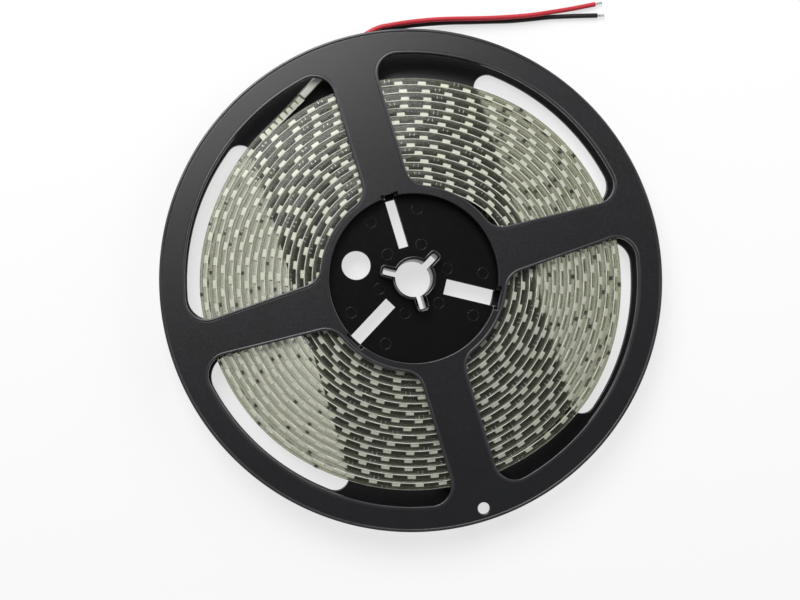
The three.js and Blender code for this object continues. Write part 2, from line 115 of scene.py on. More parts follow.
# Wound strip, as the model's solid lies
STRIP_WIDTH = 8
STRIP_THICKNESS = 2.4
STRIP_PITCH = 2.8
STRIP_TURNS = 14.71
FIRST_STEP_SHARE = 0.12
LAST_STEP_SHARE = 0.2
STRIP_CLEARANCE = 0.3
TAIL_ANGLE = 121
TAIL_LENGTH = 21
TAIL_LEAN = 15
TAIL_LEAN_AT_COIL = 4
LEAN_START_TURN = 24
SLEEVE_LENGTH = 11
SLEEVE_CORNER = 0.5
SLACK_BULGES = ((44, 25, 0.6), (89, 30, 0.45), (191, 38, 1), (277, 30, 0.5))
STRIP_MIDDLE_Z = FLANGE_THICKNESS + STRIP_CLEARANCE + STRIP_WIDTH / 2
STRIP_START_RADIUS = HUB_RADIUS + STRIP_CLEARANCE + STRIP_THICKNESS / 2

# What the strip is made of
BOARD_BACK = -1.42
BOARD_FACE = -1.1
LED_PITCH = 25 / 3
LED_LENGTH = 3
LED_WIDTH = 7.1
LED_HEIGHT = 1.2
LED_TAPER = 0.12
LED_JITTER = 0.12
PHOSPHOR_RADIUS = 1.05
COAT_FACE = 1.32
MILK_START = 0.2
# FILL_END is the outer face of the sheet of painted shade between the LEDs
FILL_END = 0.14
SKIN_START = 1.04
EDGE_MILK_WIDTH = 1.9
EDGE_SKIN_WIDTH = 0.9
END_PADS = 8
SECTION_LENGTH = 25
JOINT_LENGTH = 500
SECTION_LEDS = 3
CUT_PAD_ROWS = (-2.6, 0.0, 2.6)
JOINT_ROWS = (-2.4, 0.0, 2.4)
PATH_STEP = 1.6

# Leads
WIRE_DIAMETER = 1.7
TIP_DIAMETER = 1
TIP_LENGTH = 2.4
TIP_STRANDS = 7
RED_ROUTE = (
    (-9.6, 80.1, 7.4), (-4.9, 82.9, 7.2), (0.5, 85.8, 6.9), (6.3, 88.6, 6.5), (10.8, 90.3, 6.2),
    (15, 91, 5.9), (18.4, 90.8, 5.7), (21.8, 90.6, 5.3), (25.1, 90.3, 4.9), (28.5, 89.9, 4.5),
    (35.1, 88.9, 3.9), (41.7, 87.5, 3.4), (48.2, 85.9, 3.05), (55.4, 84.1, 2.95), (62.7, 82.5, 2.9),
    (70.1, 81.1, 2.85), (77.7, 80.2, 2.55), (85.5, 79.6, 1.6), (90.6, 79.3, 1.1), (95.3, 79, 0.95),
)
BLACK_ROUTE = (
    (-10, 80.8, 4.3), (-5.3, 83.5, 4.4), (0.3, 86.1, 4.4), (6.1, 88.4, 4.3), (10.7, 89.8, 4.2),
    (14.9, 90.5, 4), (18.3, 90.2, 3.7), (21.7, 90, 3.3), (25.1, 89.6, 2.9), (28.4, 89.2, 2.5),
    (35.1, 88.1, 1.9), (41.7, 86.8, 1.4), (48.2, 85.2, 1.1), (55.5, 83.4, 0.98), (62.7, 81.6, 0.95),
    (70.1, 80.2, 0.95), (77.6, 78.9, 0.95), (84.9, 77.2, 0.95), (89.7, 76, 0.95), (94.8, 74.7, 0.95),
)

# The photograph's camera, in a frame turned so that its picture is upright
CAMERA_ROLL = -16.8
CAMERA_PLACE = (-25.57, -21.3, 362.75)
CAMERA_AIM = (-5.07, -7.79, FRONT_FACE_Z)
CAMERA_FOCAL_PIXELS = 995.8
CAMERA_CLIP_START = 0.01  # metres

# Light and floor. The sides of the lamps and the floor's reach and drop are in metres
WORLD_STRENGTH = 0.25
KEY_PLACE = (-300, 600, 800)
KEY_AIM = (-20, 20, 0)
KEY_SIDES = (0.7, 0.7)
KEY_POWER = 9.8
FILL_PLACE = (700, 450, 450)
FILL_AIM = (0, 0, 0)
FILL_SIDES = (0.6, 0.6)
FILL_POWER = 3
FLOOR_REACH = 12
FLOOR_DROP = 0.0002
FLOOR_WHITE_SHARE = 0.66
TRANSPARENT_BOUNCES = 32


def rolled(x, y, z):
    """A point given in the upright frame, in the reel's frame and in metres."""
    return Matrix.Rotation(math.radians(CAMERA_ROLL), 4, "Z") @ Vector((x, y, z)) * MM


def make_camera():
    data = bpy.data.cameras.new("photo_camera")
    data.sensor_width = SENSOR_WIDTH
    data.lens = CAMERA_FOCAL_PIXELS / IMAGE_WIDTH * SENSOR_WIDTH
    data.clip_start = CAMERA_CLIP_START
    camera = bpy.data.objects.new("photo_camera", data)
    bpy.context.scene.collection.objects.link(camera)
    place = rolled(*CAMERA_PLACE)
    back = (place - rolled(*CAMERA_AIM)).normalized()
    right = rolled(0, 1000, 0).normalized().cross(back).normalized()
    up = back.cross(right)
    rows = [[right[i], up[i], back[i], place[i]] for i in range(3)]
    camera.matrix_world = Matrix(rows + [[0, 0, 0, 1]])
    bpy.context.scene.camera = camera


# Materials

def new_material(name):
    material = bpy.data.materials.new(name)
    material.use_nodes = True
    tree = material.node_tree
    tree.nodes.clear()
    output = tree.nodes.new("ShaderNodeOutputMaterial")
    return material, tree, output


def node(tree, kind, **values):
    made = tree.nodes.new(kind)
    for name, value in values.items():
        made.inputs[name.replace("_", " ")].default_value = value
    return made


def noise(tree, scale, detail=4.0, roughness=0.6, place=None):
    if place is None:
        place = tree.nodes.new("ShaderNodeTexCoord").outputs["Object"]
    texture = node(tree, "ShaderNodeTexNoise", Scale=scale, Detail=detail, Roughness=roughness)
    tree.links.new(place, texture.inputs["Vector"])
    return texture.outputs["Fac"]


def calculated(tree, operation, first, second):
    """A Math node's result. first is a socket, and second a socket or a number."""
    made = tree.nodes.new("ShaderNodeMath")
    made.operation = operation
    tree.links.new(first, made.inputs[0])
    if isinstance(second, (int, float)):
        made.inputs[1].default_value = second
    else:
        tree.links.new(second, made.inputs[1])
    return made.outputs["Value"]


def mixed(tree, share, first, second):
    """Two surfaces mixed, with the second one's share."""
    made = tree.nodes.new("ShaderNodeMixShader")
    tree.links.new(share, made.inputs["Fac"])
    tree.links.new(first, made.inputs[1])
    tree.links.new(second, made.inputs[2])
    return made.outputs["Shader"]


def streaks(tree, across, along):
    """Noise drawn out along the strip's turns: across per metre of radius, along per radian round."""
    place = tree.nodes.new("ShaderNodeTexCoord").outputs["Object"]
    parts = tree.nodes.new("ShaderNodeSeparateXYZ")
    tree.links.new(place, parts.inputs["Vector"])
    flat = tree.nodes.new("ShaderNodeVectorMath")
    flat.operation = "MULTIPLY"
    flat.inputs[1].default_value = (1, 1, 0)
    tree.links.new(place, flat.inputs[0])
    radius = tree.nodes.new("ShaderNodeVectorMath")
    radius.operation = "LENGTH"
    tree.links.new(flat.outputs["Vector"], radius.inputs[0])
    turn = calculated(tree, "ARCTAN2", parts.outputs["Y"], parts.outputs["X"])
    rolled_out = tree.nodes.new("ShaderNodeCombineXYZ")
    for source, gain, socket in ((radius.outputs["Value"], across, "X"), (turn, along, "Y")):
        tree.links.new(calculated(tree, "MULTIPLY", source, gain), rolled_out.inputs[socket])
    return noise(tree, 1.0, 3.0, 0.65, rolled_out.outputs["Vector"])


def ramp(tree, source, stops):
    made = tree.nodes.new("ShaderNodeValToRGB")
    elements = made.color_ramp.elements
    while len(elements) < len(stops):
        elements.new(0.5)
    for element, (place, color) in zip(elements, stops):
        element.position = place
        element.color = (*color, 1)
    tree.links.new(source, made.inputs["Fac"])
    return made.outputs["Color"]


def value_range(tree, source, low, high):
    made = node(tree, "ShaderNodeMapRange", To_Min=low, To_Max=high)
    tree.links.new(source, made.inputs["Value"])
    return made.outputs["Result"]


def bump(tree, source, strength, distance):
    made = node(tree, "ShaderNodeBump", Strength=strength, Distance=distance)
    tree.links.new(source, made.inputs["Height"])
    return made.outputs["Normal"]


def plastic(name, dark, light, roughness, grain_scale, grain_depth, specular=0.5, sparkle=0.05):
    """A moulded plastic: a colour that drifts a little, with a fine grain in bump and roughness."""
    material, tree, output = new_material(name)
    shader = node(tree, "ShaderNodeBsdfPrincipled", Specular_IOR_Level=specular)
    drift = noise(tree, 60)
    grain = noise(tree, grain_scale, 3.0)
    tree.links.new(ramp(tree, drift, ((0.3, dark), (0.7, light))), shader.inputs["Base Color"])
    satin = value_range(tree, grain, roughness - sparkle, roughness + sparkle)
    tree.links.new(satin, shader.inputs["Roughness"])
    tree.links.new(bump(tree, grain, 0.5, grain_depth), shader.inputs["Normal"])
    tree.links.new(shader.outputs["BSDF"], output.inputs["Surface"])
    return material


def streaked(name, dark, light, roughness):
    """The board's edge: copper and cover layers seen end on, drawn out along the turns."""
    material, tree, output = new_material(name)
    shader = node(tree, "ShaderNodeBsdfPrincipled", Specular_IOR_Level=0.4)
    lines = streaks(tree, 4200, 14)
    tree.links.new(ramp(tree, lines, ((0.36, dark), (0.62, light))), shader.inputs["Base Color"])
    tree.links.new(value_range(tree, lines, roughness - 0.1, roughness + 0.05), shader.inputs["Roughness"])
    tree.links.new(bump(tree, lines, 0.4, 0.0001), shader.inputs["Normal"])
    tree.links.new(shader.outputs["BSDF"], output.inputs["Surface"])
    return material


def silicone(name, tint, milk_dark, milk_light, milkiness, shiny=False):
    """Coat compound: see-through in tint, milky by milkiness with streaks, and glossy where shiny."""
    material, tree, output = new_material(name)
    lines = streaks(tree, 3000, 16)
    clear = node(tree, "ShaderNodeBsdfTransparent", Color=(*tint, 1))
    milk = tree.nodes.new("ShaderNodeBsdfDiffuse")
    tree.links.new(ramp(tree, lines, ((0.35, milk_dark), (0.65, milk_light))), milk.inputs["Color"])
    share = value_range(tree, lines, milkiness * 0.55, milkiness * 1.45)
    surface = mixed(tree, share, clear.outputs["BSDF"], milk.outputs["BSDF"])
    if shiny:
        surface = shiny_over(tree, surface)
    tree.links.new(surface, output.inputs["Surface"])
    return material


def shiny_over(tree, surface):
    """A slightly rippled shine laid over a surface, stronger at grazing angles."""
    gloss = node(tree, "ShaderNodeBsdfGlossy", Color=(0.9, 0.9, 0.86, 1), Roughness=0.2)
    fresnel = node(tree, "ShaderNodeFresnel", IOR=1.41)
    ripple = bump(tree, noise(tree, 500, 2.0), 0.35, 0.0002)
    tree.links.new(ripple, gloss.inputs["Normal"])
    tree.links.new(ripple, fresnel.inputs["Normal"])
    return mixed(tree, fresnel.outputs["Fac"], surface, gloss.outputs["BSDF"])


def metal(name, color, roughness):
    material, tree, output = new_material(name)
    shader = node(tree, "ShaderNodeBsdfPrincipled", Metallic=1.0)
    drift = noise(tree, 900)
    shade = tuple(channel * 0.8 for channel in color)
    tree.links.new(ramp(tree, drift, ((0.3, shade), (0.7, color))), shader.inputs["Base Color"])
    tree.links.new(value_range(tree, drift, roughness - 0.06, roughness + 0.06), shader.inputs["Roughness"])
    tree.links.new(bump(tree, drift, 0.3, 0.0001), shader.inputs["Normal"])
    tree.links.new(shader.outputs["BSDF"], output.inputs["Surface"])
    return material


FLANGE_PLASTIC = plastic("flange_plastic", (0.0016, 0.0018, 0.0030), (0.0034, 0.0038, 0.0060), 0.35, 1300,
                         0.00002, 0.62, 0.12)
HUB_PLASTIC = plastic("hub_plastic", (0.0014, 0.0014, 0.0016), (0.0024, 0.0024, 0.0026), 0.24, 400,
                      0.00003, 0.25)
# Lighter colours for the upper edges and lips of the flanges and hub: a painted highlight, not wear
FLANGE_EDGE_HIGHLIGHT = plastic("flange_edge_painted_highlight", (0.012, 0.012, 0.014), (0.030, 0.030, 0.034), 0.3, 1300,
                      0.00002, 0.7)
HUB_EDGE_HIGHLIGHT = plastic("hub_edge_painted_highlight", (0.008, 0.008, 0.009), (0.030, 0.030, 0.032), 0.22, 900, 0.00002, 0.7)
BOARD = streaked("strip_board", (0.38, 0.39, 0.32), (0.78, 0.79, 0.70), 0.42)
LED_HOUSING = plastic("led_housing", (0.92, 0.93, 0.83), (0.96, 0.97, 0.88), 0.4, 1500, 0.00003)
PHOSPHOR = plastic("led_phosphor", (0.78, 0.70, 0.26), (0.84, 0.76, 0.32), 0.35, 1500, 0.00003)
CHIP = plastic("resistor_body", (0.010, 0.010, 0.010), (0.022, 0.021, 0.020), 0.35, 1500, 0.00003)
SILICONE = silicone("strip_coat", (0.98, 0.98, 0.95), (0.42, 0.43, 0.34), (0.60, 0.61, 0.51), 0.02, True)
MILK = silicone("strip_milky_coat", (0.96, 0.965, 0.935), (0.16, 0.17, 0.12), (0.62, 0.63, 0.53), 0.12)
SKIN = silicone("strip_outer_skin", (0.97, 0.97, 0.95), (0.7, 0.71, 0.63), (0.92, 0.93, 0.86), 0.22)
# A see-through sheet between the LEDs whose dark, streaked milky colour is painted shade
SHADE_FILLING = silicone("strip_filling_painted_shade", (0.88, 0.885, 0.84), (0.05, 0.055, 0.04), (0.56, 0.57, 0.46), 0.05)
BOARD_FILM = silicone("board_film", (0.97, 0.97, 0.92), (0.08, 0.08, 0.06), (0.44, 0.44, 0.36), 0.16)
SLEEVE = plastic("sleeve_coat", (0.64, 0.65, 0.58), (0.74, 0.75, 0.67), 0.38, 700, 0.00008)
RED_PVC = plastic("red_insulation", (0.50, 0.022, 0.035), (0.60, 0.035, 0.05), 0.38, 1200, 0.00005)
BLACK_PVC = plastic("black_insulation", (0.010, 0.009, 0.010), (0.016, 0.014, 0.016), 0.36, 1200, 0.00005)
SOLDER = metal("solder", (0.78, 0.78, 0.76), 0.28)
TINNED = metal("tinned_copper", (0.80, 0.79, 0.76), 0.3)


# Meshes

def finish_piece(piece, replaced, slot, *materials):
    for material in materials:
        piece.data.materials.append(material)
    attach(piece, BODY)
    if replaced:
        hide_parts(replaced)
    return piece


def mesh_object(name, points, faces, indices=None, sharp=SHARP_ANGLE, flat_faces=0):
    """A mesh from points in millimetres, shaded smooth but for edges sharper than sharp degrees.

    The last flat_faces faces lie in a plane and are shaded flat.
    """
    mesh = bpy.data.meshes.new(name)
    mesh.from_pydata([tuple(c * MM for c in p) for p in points], [], faces)
    if indices:
        mesh.polygons.foreach_set("material_index", indices)
    mesh.update()
    tidy = bmesh.new()
    tidy.from_mesh(mesh)
    bmesh.ops.recalc_face_normals(tidy, faces=tidy.faces)
    tidy.to_mesh(mesh)
    tidy.free()
    shade(mesh, sharp, [True] * (len(faces) - flat_faces) + [False] * flat_faces)
    piece = bpy.data.objects.new(name, mesh)
    bpy.context.scene.collection.objects.link(piece)
    return piece


def tube_faces(sides, rings, first=0):
    """The faces of a tube through rings of points, sides points to a ring, closed at both ends."""
    faces = []
    for ring in range(rings - 1):
        for side in range(sides):
            a = first + ring * sides + side
            b = first + ring * sides + (side + 1) % sides
            faces.append((a, b, b + sides, a + sides))
    last = first + (rings - 1) * sides
    faces.append(tuple(first + side for side in range(sides)))
    faces.append(tuple(last + side for side in reversed(range(sides))))
    return faces


def shade(mesh, sharp, smooth):
    """Smooth shading up to sharp degrees, for the faces that smooth marks as True."""
    mesh.shade_smooth()
    mesh.set_sharp_from_angle(angle=math.radians(sharp))
    mesh.polygons.foreach_set("use_smooth", smooth)


def polar(radius, degrees):
    return Vector((radius * math.cos(math.radians(degrees)), radius * math.sin(math.radians(degrees))))


def arc(centre, radius, start, end, steps):
    return [Vector(centre) + polar(radius, start + (end - start) * i / steps) for i in range(steps + 1)]


def circle(centre, radius, steps):
    return arc(centre, radius, 0, 360, steps)[:-1]


def angle_of(vector):
    return math.degrees(math.atan2(vector.y, vector.x))


def arc_between(centre, radius, start, end, steps, clockwise=False):
    first = angle_of(start - centre)
    last = angle_of(end - centre)
    while clockwise and last > first:
        last -= 360
    while not clockwise and last < first:
        last += 360
    return arc(centre, radius, first, last, steps)


def fillet_centre(foot, along, opening, reach, corner):
    """Centre of a corner circle that touches the line through foot and lies at reach from the axis."""
    base = foot + opening * corner
    b = base.dot(along)
    c = base.length_squared - reach * reach
    return base + along * (-b + math.sqrt(b * b - c))


def front_window():
    """Outline of the front window in the first quadrant."""
    outer = FRONT_WINDOW_OUTER_RADIUS
    inner = FRONT_WINDOW_INNER_RADIUS
    corner = FRONT_WINDOW_CORNER
    axis = Vector((0, 0))
    start = Vector((inner, X_SPOKE_HALF_WIDTH_INNER))
    x_along = (Vector((outer, X_SPOKE_HALF_WIDTH_OUTER)) - start).normalized()
    x_open = Vector((-x_along.y, x_along.x))
    y_foot = Vector((Y_SPOKE_HALF_WIDTH, 0))
    y_along = Vector((0, 1))
    y_open = Vector((1, 0))
    x_out = fillet_centre(start, x_along, x_open, outer - corner, corner)
    y_out = fillet_centre(y_foot, y_along, y_open, outer - corner, corner)
    y_in = fillet_centre(y_foot, y_along, y_open, inner + corner, corner)
    x_in = fillet_centre(start, x_along, x_open, inner + corner, corner)
    return [
        *arc_between(x_out, corner, x_out - x_open * corner, x_out.normalized() * outer, 14),
        *arc_between(axis, outer, x_out, y_out, 48)[1:-1],
        *arc_between(y_out, corner, y_out.normalized() * outer, y_out - y_open * corner, 14),
        *arc_between(y_in, corner, y_in - y_open * corner, y_in.normalized() * inner, 12),
        *arc_between(axis, inner, y_in, x_in, 20, clockwise=True)[1:-1],
        *arc_between(x_in, corner, x_in.normalized() * inner, x_in - x_open * corner, 12),
    ]


def rear_window():
    """Outline of the rear window in the first quadrant."""
    radius = REAR_WINDOW_OUTER_RADIUS
    corner = REAR_WINDOW_CORNER
    rim_corner = REAR_WINDOW_RIM_CORNER
    low = Vector((REAR_BAND_HALF_WIDTH + corner, REAR_SPOKE_HALF_WIDTH + corner))
    right = Vector((0, REAR_SPOKE_HALF_WIDTH + rim_corner))
    right.x = math.sqrt((radius - rim_corner) ** 2 - right.y ** 2)
    top = Vector((low.x, math.sqrt((radius - corner) ** 2 - low.x ** 2)))
    return [
        *arc(low, corner, 180, 270, 10),
        *arc(right, rim_corner, 270, 360 + angle_of(right), 14),
        *arc_between(Vector((0, 0)), radius, right, top, 30)[1:-1],
        *arc(top, corner, angle_of(top), 180, 10),
    ]


def four_quadrants(loop):
    return [[Vector((p.x * sx, p.y * sy)) for p in loop] for sx in (1, -1) for sy in (1, -1)]


def turned_about_axis(points, degrees):
    turn = Matrix.Rotation(math.radians(degrees), 2)
    return [turn @ Vector(p) for p in points]


def half_angle(half_width, radius):
    """Degrees that half a slot's width takes up at a radius."""
    return math.degrees(math.asin(half_width / radius))


def slots_in_pairs():
    """Each tape slot's angle and width, then those of the slot that follows it round."""
    first_angle, first_width = TAPE_SLOTS[0]
    following = TAPE_SLOTS[1:] + ((first_angle + 360, first_width),)
    return [(*slot, *after) for slot, after in zip(TAPE_SLOTS, following)]


def bore_outline():
    mouth = half_angle(KEY_WIDTH / 2, BORE_RADIUS)
    loop = []
    for angle, following in zip(KEY_ANGLES, KEY_ANGLES[1:] + (KEY_ANGLES[0] + 360,)):
        loop += turned_about_axis(key_tip(), angle)
        loop += arc((0, 0), BORE_RADIUS, angle + mouth, following - mouth, 24)
    return loop


def key_tip():
    """The end of a keyway that points along X, with small rounded corners."""
    half = KEY_WIDTH / 2
    corner = KEY_CORNER
    return [
        *arc((KEY_TIP_RADIUS - corner, -half + corner), corner, -90, 0, 4),
        *arc((KEY_TIP_RADIUS - corner, half - corner), corner, 0, 90, 4),
    ]


def anticlockwise(loop):
    area = sum(p.x * q.y - q.x * p.y for p, q in zip(loop, loop[1:] + loop[:1]))
    return loop if area > 0 else loop[::-1]


def grown(loop, amount):
    """The anticlockwise loop moved outward by amount, corners mitred."""
    moved = []
    for before, here, after in zip(loop[-1:] + loop[:-1], loop, loop[1:] + loop[:1]):
        first = (here - before).normalized()
        second = (after - here).normalized()
        normal = Vector((first.y + second.y, -first.x - second.x)).normalized()
        spread = max(normal.dot(Vector((first.y, -first.x))), 0.4)
        moved.append(here + normal * amount / spread)
    return moved


def square_profile(bottom, top, rounding):
    """Rounded edges of a plate, as (how far into the material, height) from bottom to top."""
    steps = EDGE_STEPS
    low = [(rounding - rounding * math.sin(math.radians(90 * i / steps)),
            bottom + rounding - rounding * math.cos(math.radians(90 * i / steps))) for i in range(steps + 1)]
    return low + [(depth, bottom + top - height) for depth, height in reversed(low)]


def lip_profile(bottom, face, top, width, rounding):
    """A plate's edge with a rounded lip that stands proud of the face for the given width."""
    rise = top - face
    steps = 10
    lip = []
    for i in range(steps + 1):
        angle = math.radians(180 * i / steps)
        lip.append((width / 2 - width / 2 * math.cos(angle), face + rise * math.sin(angle) ** 0.8 - 0.02))
    low = square_profile(bottom, face, rounding)[:EDGE_STEPS + 1]
    return low + lip + [(width + 0.15, face)]


def plate(name, edge, holes):
    """A closed plate. edge and each hole are (loop, profile), and a profile is read from bottom to top.

    Its upper edges and lips take the second material, where it has one: a lighter colour that is a painted
    highlight.
    """
    points = []
    faces = []
    indices = []
    caps = {"bottom": [], "top": []}
    for loop, profile, outward in [(edge[0], edge[1], -1)] + [(loop, profile, 1) for loop, profile in holes]:
        loop = anticlockwise(loop)
        rings = []
        for depth, height in profile:
            ring = [len(points) + i for i in range(len(loop))]
            points += [(p.x, p.y, height) for p in grown(loop, outward * depth)]
            rings.append(ring)
        # Sides this near the top take the second material, the painted highlight
        highlight_from = max(height for _, height in profile) - HIGHLIGHT_EDGE_HEIGHT
        for low, high in zip(rings, rings[1:]):
            for i in range(len(loop)):
                j = (i + 1) % len(loop)
                faces.append((low[i], low[j], high[j], high[i]))
            highlighted = points[low[0]][2] >= highlight_from and points[high[0]][2] >= highlight_from
            indices += [int(highlighted)] * len(loop)
        caps["bottom"].append(rings[0])
        caps["top"].append(rings[-1])
    sides = len(faces)
    for rings in caps.values():
        flat = [index for ring in rings for index in ring]
        outlines = [[Vector(points[index]) for index in ring] for ring in rings]
        faces += [tuple(flat[i] for i in triangle) for triangle in tessellate_polygon(outlines)]
    flat_faces = len(faces) - sides
    return mesh_object(name, points, faces, indices + [0] * flat_faces, flat_faces=flat_faces)


def tie_hole():
    return circle(polar(TIE_HOLE_FROM_AXIS, TIE_HOLE_ANGLE), TIE_HOLE_RADIUS, 32)


def rim_with_tie_notch():
    """The rear flange's edge, open behind the tie hole."""
    reach = half_angle(TIE_NOTCH_RADIUS, FLANGE_RADIUS)
    rim = arc((0, 0), FLANGE_RADIUS, TIE_HOLE_ANGLE + reach, TIE_HOLE_ANGLE + 360 - reach, 236)
    inner_end = arc((TIE_HOLE_FROM_AXIS, 0), TIE_NOTCH_RADIUS, 270, 90, 16)
    return rim + turned_about_axis(inner_end, TIE_HOLE_ANGLE)


def hub_opening_with_notches():
    """The front flange's hub opening, with a notch over each tape slot."""
    tip = HUB_OPENING_RADIUS + SLOT_NOTCH_DEPTH
    loop = []
    for angle, width, following, following_width in slots_in_pairs():
        half = width / 2 + SLOT_NOTCH_MARGIN
        leaving = half_angle(half, HUB_OPENING_RADIUS)
        arriving = half_angle(following_width / 2 + SLOT_NOTCH_MARGIN, HUB_OPENING_RADIUS)
        loop += turned_about_axis([(tip, -half), (tip, half)], angle)
        loop += arc((0, 0), HUB_OPENING_RADIUS, angle + leaving, following - arriving, 48)
    return loop


def make_front_flange():
    rim = circle((0, 0), FLANGE_RADIUS, 240)
    rim_profile = lip_profile(FRONT_INNER_Z, FRONT_FACE_Z, LIP_TOP_Z, RIM_BEAD_WIDTH, EDGE_ROUND)
    window_profile = lip_profile(FRONT_INNER_Z, FRONT_FACE_Z, LIP_TOP_Z, WINDOW_LIP_WIDTH, EDGE_ROUND)
    plain = square_profile(FRONT_INNER_Z, FRONT_FACE_Z, EDGE_ROUND)
    holes = [(loop, window_profile) for loop in four_quadrants(front_window())]
    holes += [(hub_opening_with_notches(), plain), (tie_hole(), plain)]
    piece = plate("front_flange_moulding", (rim, rim_profile), holes)
    finish_piece(piece, "front_flange", "flange_plastic", FLANGE_PLASTIC, FLANGE_EDGE_HIGHLIGHT)


def make_rear_flange():
    profile = square_profile(0, FLANGE_THICKNESS, EDGE_ROUND)
    holes = [(loop, profile) for loop in four_quadrants(rear_window())]
    holes.append((circle((0, 0), HUB_OPENING_RADIUS, 144), profile))
    piece = plate("rear_flange_moulding", (rim_with_tie_notch(), profile), holes)
    finish_piece(piece, "rear_flange", "flange_plastic", FLANGE_PLASTIC, FLANGE_EDGE_HIGHLIGHT)


def web_outline():
    """The web's edge, which the three tape slots cut into."""
    radius = HUB_OPENING_RADIUS + WEB_REACH_INTO_WALL
    start = TAPE_SLOT_START_RADIUS
    loop = []
    for angle, width, following, following_width in slots_in_pairs():
        half = width / 2
        leaving = half_angle(half, radius)
        arriving = half_angle(following_width / 2, radius)
        loop += turned_about_axis([(start, -half), (start, half)], angle)
        loop += arc((0, 0), radius, angle + leaving, following - arriving, 40)
    return loop


def wall_sector(angle, width, following, following_width):
    """The stretch of winding wall from one tape slot to the one that follows it."""
    sides = []
    for radius in (HUB_OPENING_RADIUS, HUB_RADIUS):
        leaving = half_angle(width / 2, radius)
        arriving = half_angle(following_width / 2, radius)
        sides.append(arc((0, 0), radius, angle + leaving, following - arriving, 40))
    return sides[0] + sides[1][::-1]


def pin_mark(radius, angle):
    """The round witness line that an ejector pin leaves, as a low ring on the web."""
    centre = polar(radius, angle)
    edge = circle(centre, PIN_MARK_RADIUS, 32)
    inner = circle(centre, PIN_MARK_RADIUS - PIN_MARK_WIDTH, 32)
    profile = square_profile(WEB_TOP_Z - PIN_MARK_DEPTH, WEB_TOP_Z + PIN_MARK_RISE, PIN_MARK_ROUND)
    return plate("pin_mark", (edge, profile), [(inner, profile)])


def make_hub():
    web_hole = circle(polar(WEB_HOLE_FROM_AXIS, WEB_HOLE_ANGLE), WEB_HOLE_RADIUS, 64)
    web_profile = square_profile(WEB_BOTTOM_Z, WEB_TOP_Z, WEB_ROUND)
    bore = bore_outline()
    tube_profile = square_profile(0, FRONT_FACE_Z, EDGE_ROUND)
    mouth = [(depth, FRONT_FACE_Z - drop) for depth, drop in BORE_MOUTH]
    mouth_profile = tube_profile[:EDGE_STEPS + 1] + mouth
    wall_profile = square_profile(FLANGE_THICKNESS, FRONT_INNER_Z, WALL_ROUND)
    middle = grown(anticlockwise(bore), BORE_TUBE_WALL / 2)
    parts = [
        plate("hub_moulding", (web_outline(), web_profile), [(web_hole, web_profile), (middle, web_profile)]),
        plate("bore_tube", (grown(anticlockwise(bore), BORE_TUBE_WALL), tube_profile),
              [(bore, mouth_profile)]),
    ]
    parts += [plate("wall", (wall_sector(*pair), wall_profile), []) for pair in slots_in_pairs()]
    parts += [pin_mark(radius, angle) for radius, angle in PIN_MARKS]
    finish_piece(joined(parts), "hub", "hub_plastic", HUB_PLASTIC, HUB_EDGE_HIGHLIGHT)


def joined(parts):
    """The first part, with the others' meshes added to it."""
    whole = bmesh.new()
    for part in parts:
        whole.from_mesh(part.data)
    whole.to_mesh(parts[0].data)
    whole.free()
    for part in parts[1:]:
        bpy.data.objects.remove(part)
    shade(parts[0].data, SHARP_ANGLE, [face.use_smooth for face in parts[0].data.polygons])
    return parts[0]


# The strip's path

def wound_radius(turns):
    """Each turn lies round the one below and steps out over it where the strip starts."""
    from_step = turns + FIRST_STEP_SHARE
    whole = math.floor(from_step)
    share = FIRST_STEP_SHARE + (LAST_STEP_SHARE - FIRST_STEP_SHARE) * whole / STRIP_TURNS
    part = min((from_step - whole) / share, 1) if whole > 0 else 1
    return STRIP_START_RADIUS + STRIP_PITCH * (whole - 1 + part * part * (3 - 2 * part))


def slack_at(degrees_before_tail):
    """How far the last turn stands off the one below."""
    slack = 0
    for middle, reach, height in SLACK_BULGES:
        share = min(abs(degrees_before_tail - middle) / reach, 1)
        slack += height * (1 + math.cos(math.pi * share)) / 2
    return slack


def leaned(outward, lean):
    """The strip's across and up directions where its upper edge leans outward by lean."""
    across = Vector((outward.x * math.cos(lean), outward.y * math.cos(lean), math.sin(lean)))
    up = Vector((-outward.x * math.sin(lean), -outward.y * math.sin(lean), math.cos(lean)))
    return across, up


def lean_shift(lean):
    """How far the middle moves out and up as the strip leans on its lower inner edge."""
    half_thickness = STRIP_THICKNESS / 2
    half_width = STRIP_WIDTH / 2
    out = half_thickness * math.cos(lean) + half_width * math.sin(lean) - half_thickness
    up = half_width * math.cos(lean) + half_thickness * math.sin(lean) - half_width
    return out, up


def strip_at(degrees_before_tail):
    radius = wound_radius(STRIP_TURNS - degrees_before_tail / 360) + slack_at(degrees_before_tail)
    start = min(degrees_before_tail / LEAN_START_TURN, 1)
    lean = math.radians(TAIL_LEAN_AT_COIL * (1 - start) ** 2)
    out, up = lean_shift(lean)
    outward = polar(1, TAIL_ANGLE + degrees_before_tail)
    middle = outward * (radius + out)
    return Vector((middle.x, middle.y, STRIP_MIDDLE_Z + up)), outward, lean


def tail_at(length):
    point, outward, lean = strip_at(0)
    share = min(length / TAIL_LENGTH, 1)
    lean = math.radians(TAIL_LEAN_AT_COIL + (TAIL_LEAN - TAIL_LEAN_AT_COIL) * share)
    place = Vector((point.x, point.y)) + Vector((outward.y, -outward.x)) * length
    return Vector((place.x, place.y, STRIP_MIDDLE_Z + lean_shift(lean)[1])), outward, lean


